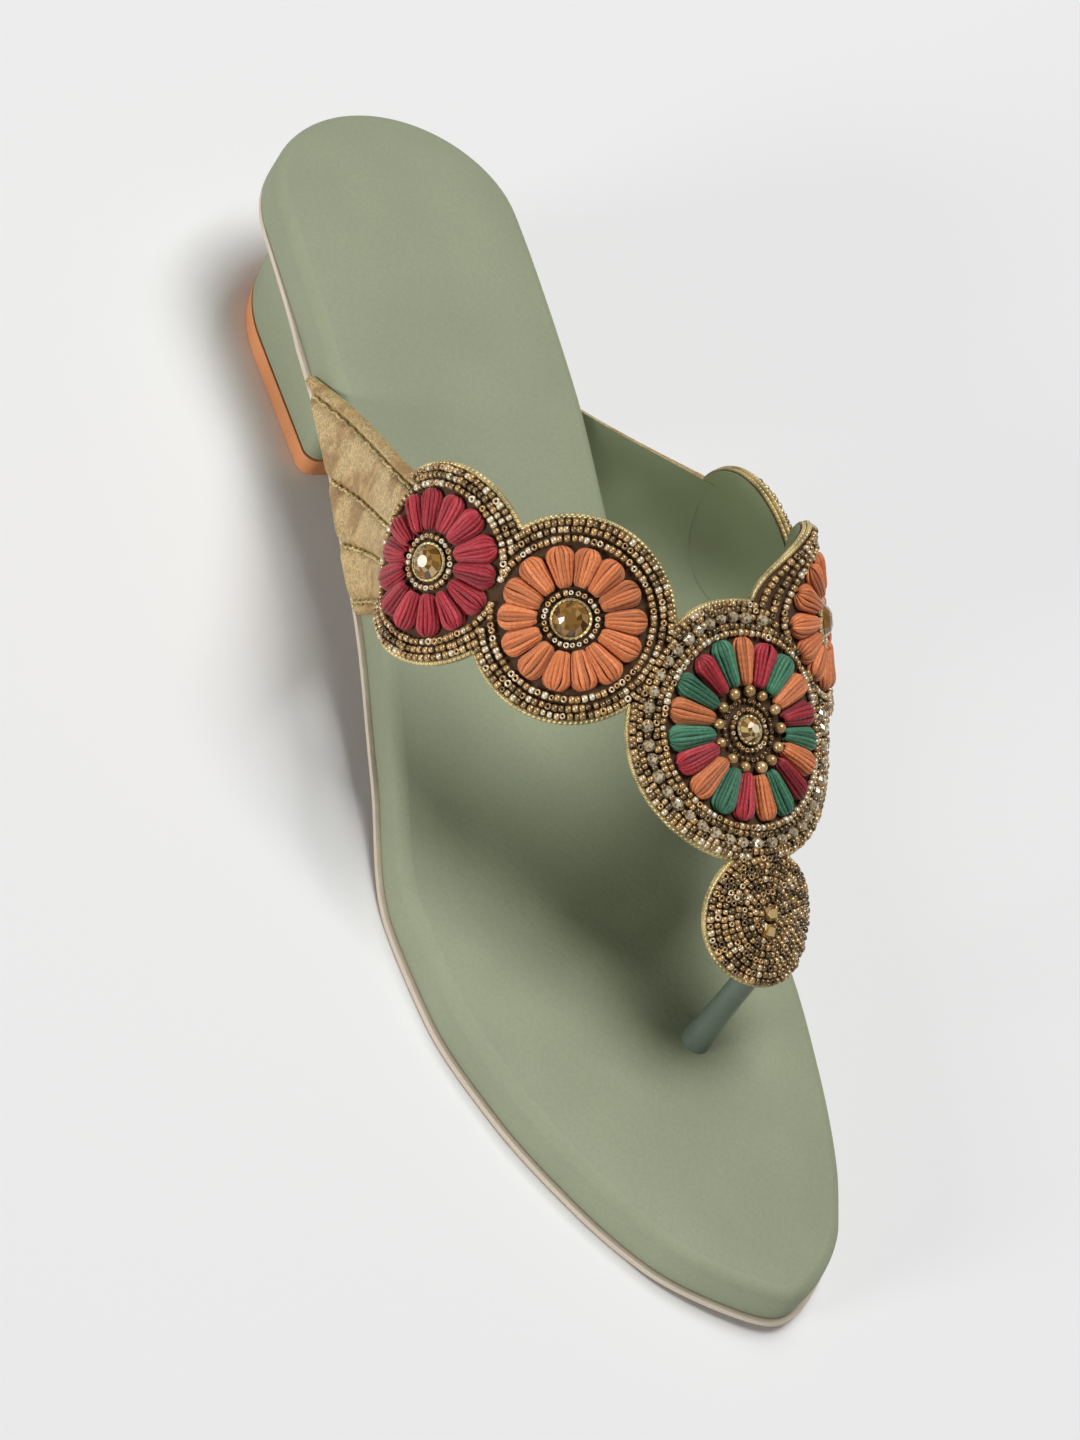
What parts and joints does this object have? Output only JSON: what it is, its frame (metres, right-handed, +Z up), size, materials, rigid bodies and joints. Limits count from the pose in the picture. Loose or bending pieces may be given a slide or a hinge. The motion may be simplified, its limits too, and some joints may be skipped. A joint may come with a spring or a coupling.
{
  "type": "toe-post sandal with a low block heel",
  "caption": "Women's toe-post sandal with a low block heel, a padded sage footbed and a scalloped strap with beaded medallions and thread flowers.",
  "frame": {"origin": "middle of the heel's contact face on the floor", "axes": "+Z up from the floor, the toe towards -Y, +X towards the inner side of a right foot"},
  "size_m": [0.0873, 0.2469, 0.0711],
  "materials": {
    "sage_leather": "matt fine-grained sage green leather",
    "outsole_edge": "matt taupe edge with a cream underside",
    "lift_rubber": "satin orange rubber",
    "gold_leather": "metallic gold leather with brown patches",
    "green_lining": "matt dark sage lining",
    "red_thread": "silky crimson embroidery thread",
    "orange_thread": "silky orange embroidery thread",
    "mixed_thread": "silky crimson, green and orange embroidery threads",
    "bead_bronze": "antique bronze glass beads",
    "piping_gold": "gold cord piping",
    "amber_stone": "faceted amber glass",
    "post_gloss": "glossy dark green rubber"
  },
  "bodies": {
    "root": {"outsole": "outsole_edge", "footbed": "sage_leather", "heel_block": "sage_leather", "top_lift": "lift_rubber", "strap": "gold_leather", "toe_post": "post_gloss", "red_flower_outer": "red_thread", "orange_flower_outer": "orange_thread", "centre_flower": "mixed_thread", "orange_flower_inner": "orange_thread", "red_flower_inner": "red_thread", "red_stone_outer": "amber_stone", "orange_stone_outer": "amber_stone", "centre_stone": "amber_stone", "orange_stone_inner": "amber_stone", "red_stone_inner": "amber_stone", "drop_stone": "amber_stone"}
  },
  "joints": []
}
